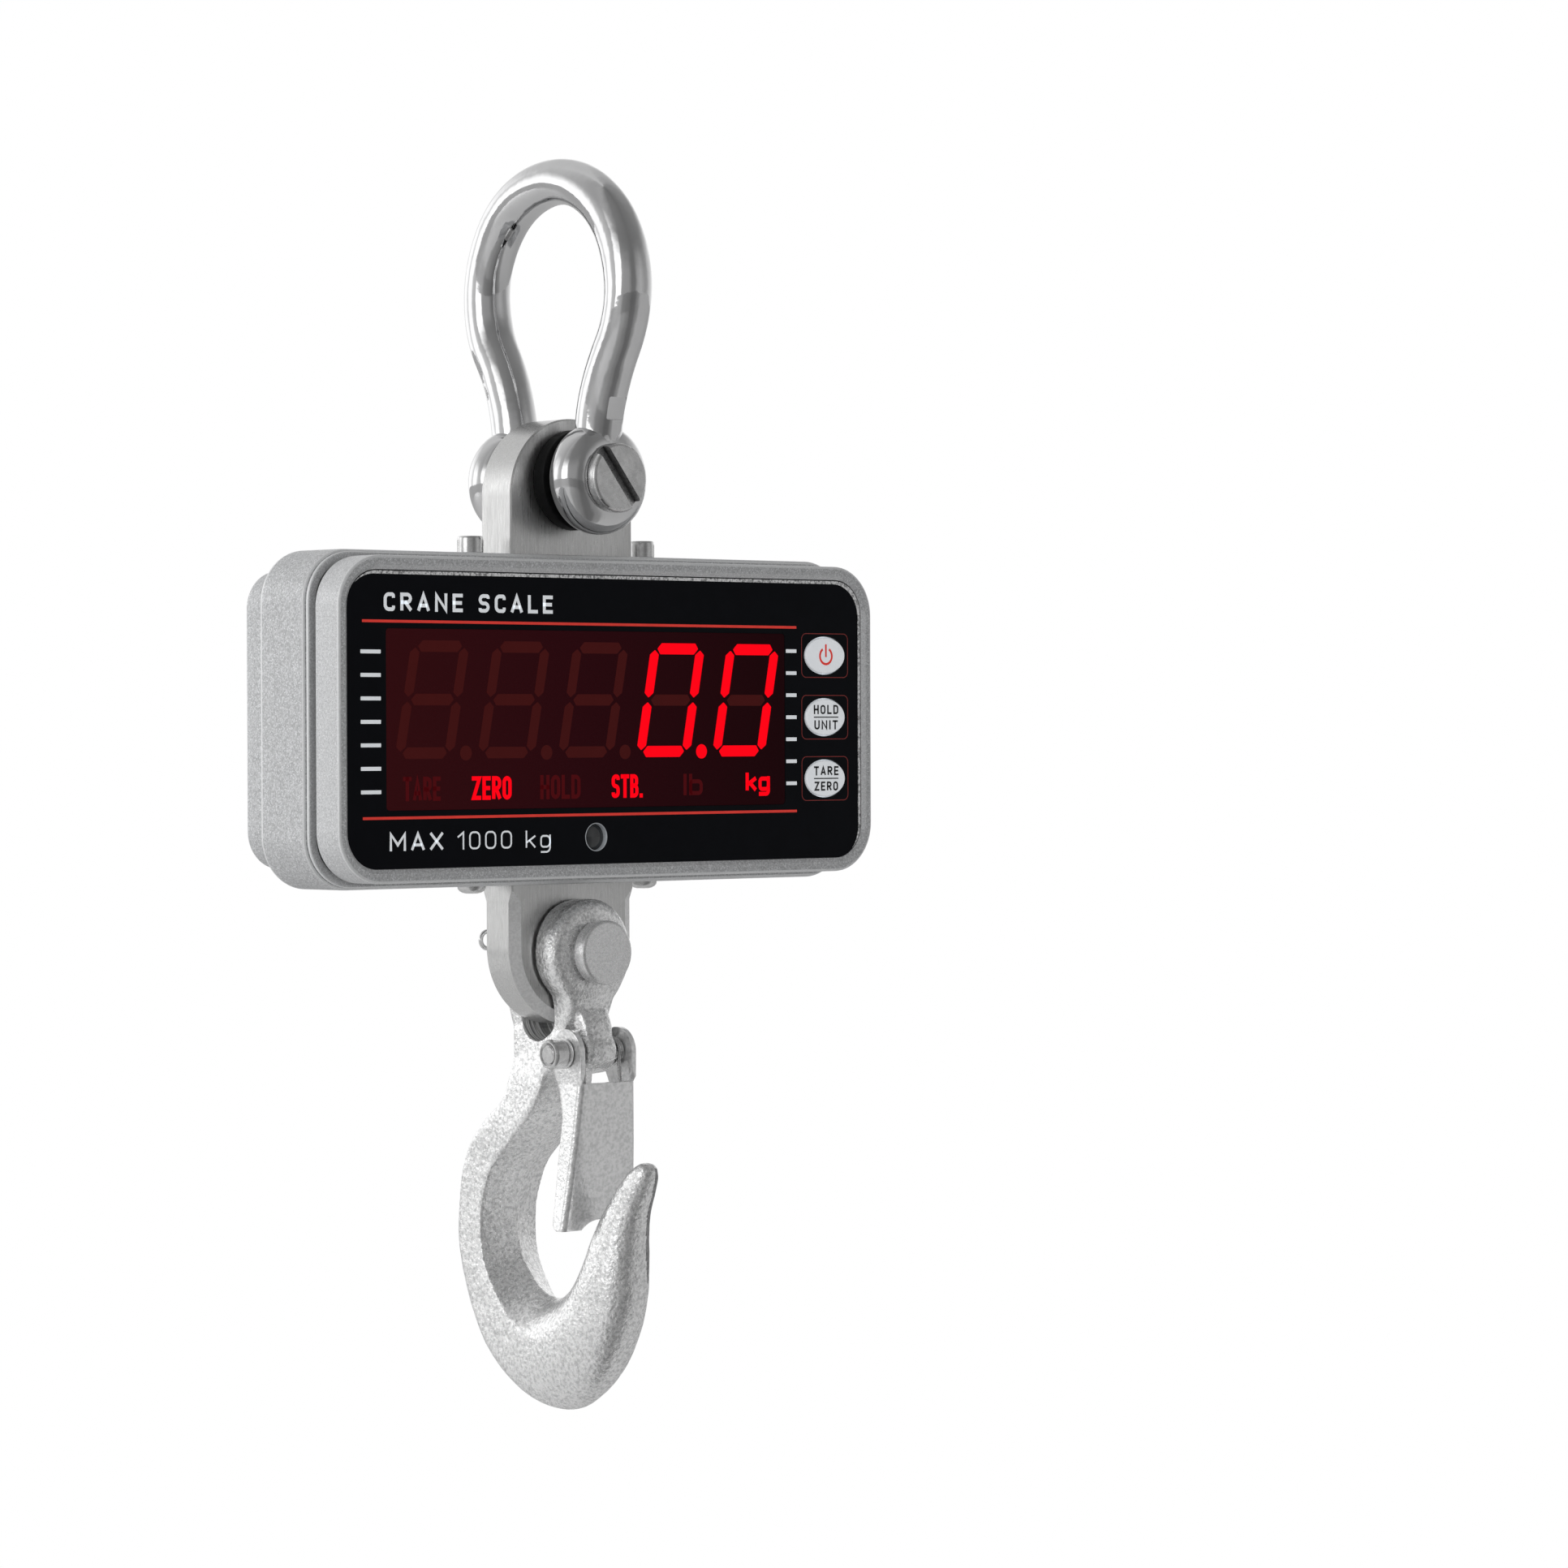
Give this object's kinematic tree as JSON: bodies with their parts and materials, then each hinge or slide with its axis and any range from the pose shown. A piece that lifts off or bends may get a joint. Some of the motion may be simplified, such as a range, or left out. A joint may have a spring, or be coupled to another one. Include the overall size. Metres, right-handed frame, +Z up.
{
  "type": "crane scale",
  "caption": "Digital crane scale with a bow shackle on top, a plate load cell through a grey housing with a red display and keys, and a latched clevis hook below.",
  "frame": {"origin": "middle of the inside of the shackle's crown, where the crane's hook bears", "axes": "+Z up along the load line, display faces -Y, +X to the viewer's right when facing the display"},
  "size_m": [0.189, 0.0757, 0.339],
  "materials": {
    "shackle_steel": "polished stainless steel",
    "pin_steel": "satin zinc-plated steel",
    "cell_steel": "ground and nickel-plated alloy steel, fine brushed grain",
    "gauge_film": "amber gauge film",
    "washer_black": "black nylon",
    "black_rubber": "matt black rubber",
    "screw_steel": "bright steel",
    "housing_paint": "silver-grey fine-textured powder coat on cast aluminium",
    "panel_black": "satin black polycarbonate overlay",
    "window_red": "dark red filter",
    "black_plastic": "black moulded plastic",
    "board_green": "green solder mask",
    "led_lit": "red display segments",
    "key_white": "pale grey key cap",
    "cell_wrap": "plain blue battery sleeve",
    "brass_gold": "gold-flashed contact",
    "hook_zinc": "bright zinc plating over a drop-forged surface",
    "spring_steel": "spring wire",
    "latch_zinc": "bright zinc-plated sheet steel"
  },
  "bodies": {
    "shackle": {"shackle_bow": "shackle_steel", "shackle_pin": "pin_steel"},
    "scale": {"load_cell": "cell_steel", "strain_gauges": "gauge_film", "spacer_washers": "washer_black", "upper_seal": "black_rubber", "lower_seal": "black_rubber", "mounting_blocks": "screw_steel", "top_screws": "screw_steel", "bottom_screws": "screw_steel", "rear_shell": "housing_paint", "front_shell": "housing_paint", "housing_gasket": "black_rubber", "shell_screws": "screw_steel", "overlay_panel": "panel_black", "display_window": "window_red", "ir_window": "panel_black", "ir_receiver": "black_plastic", "display_board": "board_green", "board_screws": "screw_steel", "led_digits": "led_lit", "annunciator_block": "led_lit", "key_switches": "black_plastic", "buzzer": "black_plastic", "battery_holder": "black_plastic", "battery_cells": "cell_wrap", "battery_contacts": "brass_gold", "battery_door": "housing_paint", "battery_door_screws": "screw_steel", "charge_socket": "black_plastic", "charge_pin": "brass_gold"},
    "power_key": {"power_key": "key_white"},
    "hold_key": {"hold_key": "key_white"},
    "tare_key": {"tare_key": "key_white"},
    "hook": {"hook_body": "hook_zinc", "clevis_pin": "hook_zinc", "cotter_pin": "screw_steel", "latch_bolt": "screw_steel", "latch_nut": "screw_steel", "latch_spring": "spring_steel"},
    "latch": {"latch_plate": "latch_zinc"}
  },
  "joints": [
    {"name": "shackle_swing", "type": "hinge", "parent": "shackle", "child": "scale", "pos_m": [0, 0, -0.0745], "axis": [0, 1, 0], "range_deg": [-90, 90]},
    {"name": "hook_swing", "type": "hinge", "parent": "scale", "child": "hook", "pos_m": [0, 0, -0.2016], "axis": [0, 1, 0], "range_deg": [-75, 75]},
    {"name": "latch_open", "type": "hinge", "parent": "hook", "child": "latch", "pos_m": [0, -0.0144, -0.2285], "axis": [1, 0, 0], "range_deg": [0, 32], "stiffness_Nm_per_rad": 0.02, "springref_deg": -34.38},
    {"name": "power_press", "type": "slide", "parent": "scale", "child": "power_key", "axis": [0, 1, 0], "range_m": [0, 0.0005], "stiffness_N_per_m": 400, "springref_m": -0.0005},
    {"name": "hold_press", "type": "slide", "parent": "scale", "child": "hold_key", "axis": [0, 1, 0], "range_m": [0, 0.0005], "stiffness_N_per_m": 400, "springref_m": -0.0005},
    {"name": "tare_press", "type": "slide", "parent": "scale", "child": "tare_key", "axis": [0, 1, 0], "range_m": [0, 0.0005], "stiffness_N_per_m": 400, "springref_m": -0.0005}
  ]
}
